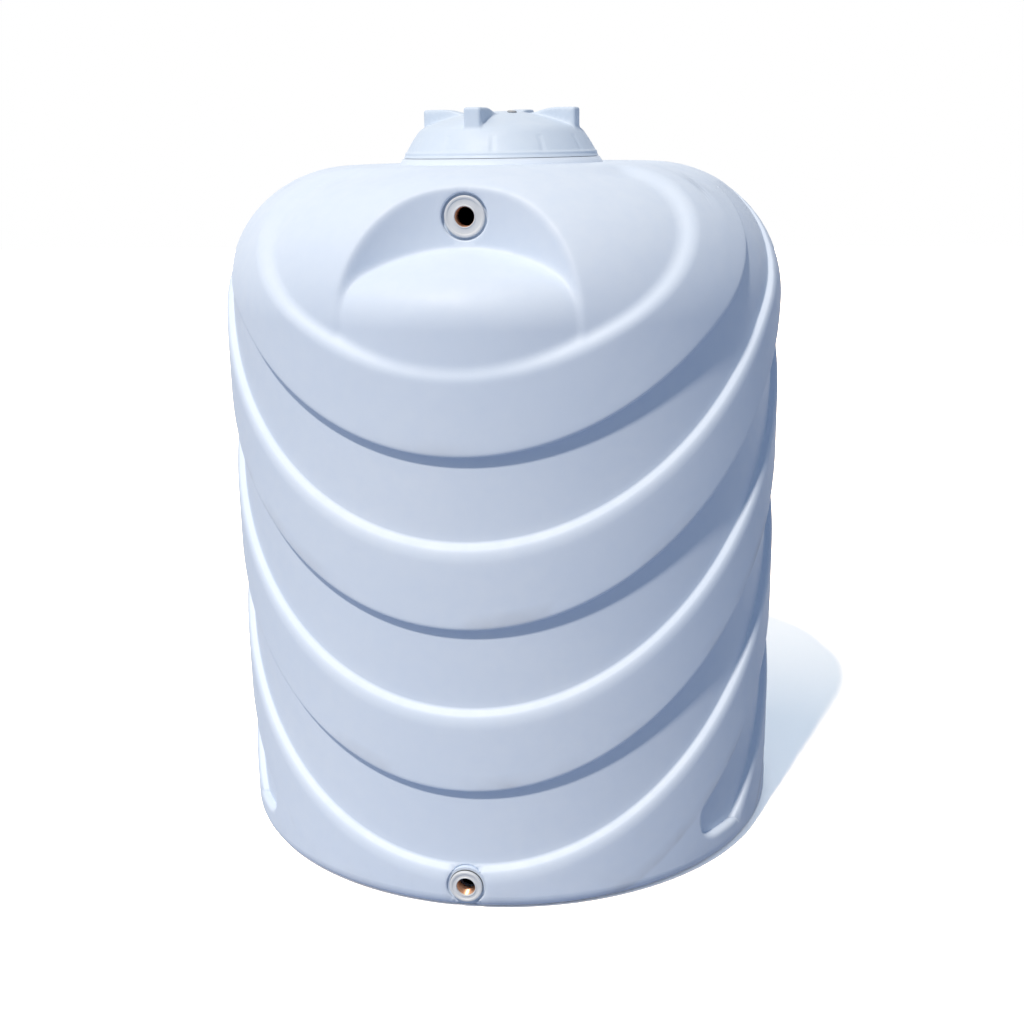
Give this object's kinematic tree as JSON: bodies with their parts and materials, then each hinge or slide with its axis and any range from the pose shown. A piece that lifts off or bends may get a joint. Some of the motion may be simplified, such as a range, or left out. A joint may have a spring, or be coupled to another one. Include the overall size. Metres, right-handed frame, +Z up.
{
  "type": "water tank",
  "caption": "Upright moulded plastic water tank with raised bands that sweep round it, a domed shoulder with a set-in niche, port fittings and a domed screw lid.",
  "frame": {"origin": "centre of the flat base, on the tank's axis", "axes": "+Z up along the tank's axis, -Y towards the ports, +X to the right of the ports"},
  "size_m": [1.1, 1.1, 1.425],
  "materials": {
    "shell": "satin moulded polyethylene, pale blue-grey",
    "lid_plastic": "satin moulded polyethylene, pale blue-grey",
    "fitting_plastic": "moulded white plastic",
    "grey_plastic": "moulded grey plastic",
    "seal_rubber": "flat black rubber",
    "bush_brass": "turned brass"
  },
  "bodies": {
    "tank": {"tank_body": "shell", "inlet_spud": "fitting_plastic", "outlet_spud": "fitting_plastic", "inlet_insert": "bush_brass", "outlet_insert": "bush_brass", "inlet_gasket": "seal_rubber", "outlet_gasket": "seal_rubber", "inlet_washer": "fitting_plastic", "outlet_washer": "fitting_plastic", "inlet_nut": "fitting_plastic", "outlet_nut": "fitting_plastic"},
    "lid_seal": {"lid_gasket": "seal_rubber"},
    "lid": {"lid": "lid_plastic", "vent_plug": "grey_plastic"}
  },
  "joints": [
    {"name": "lid_lift", "type": "slide", "parent": "tank", "child": "lid_seal", "axis": [0, 0, 1], "range_m": [0, 0.0201]},
    {"name": "lid_turn", "type": "hinge", "parent": "lid_seal", "child": "lid", "pos_m": [0, 0, 1.35], "axis": [0, 0, 1], "range_deg": [0, 450]}
  ],
  "couplings": [
    {"joint": "lid_lift", "follows": "lid_turn", "m_per_rad": 0.0025465}
  ]
}
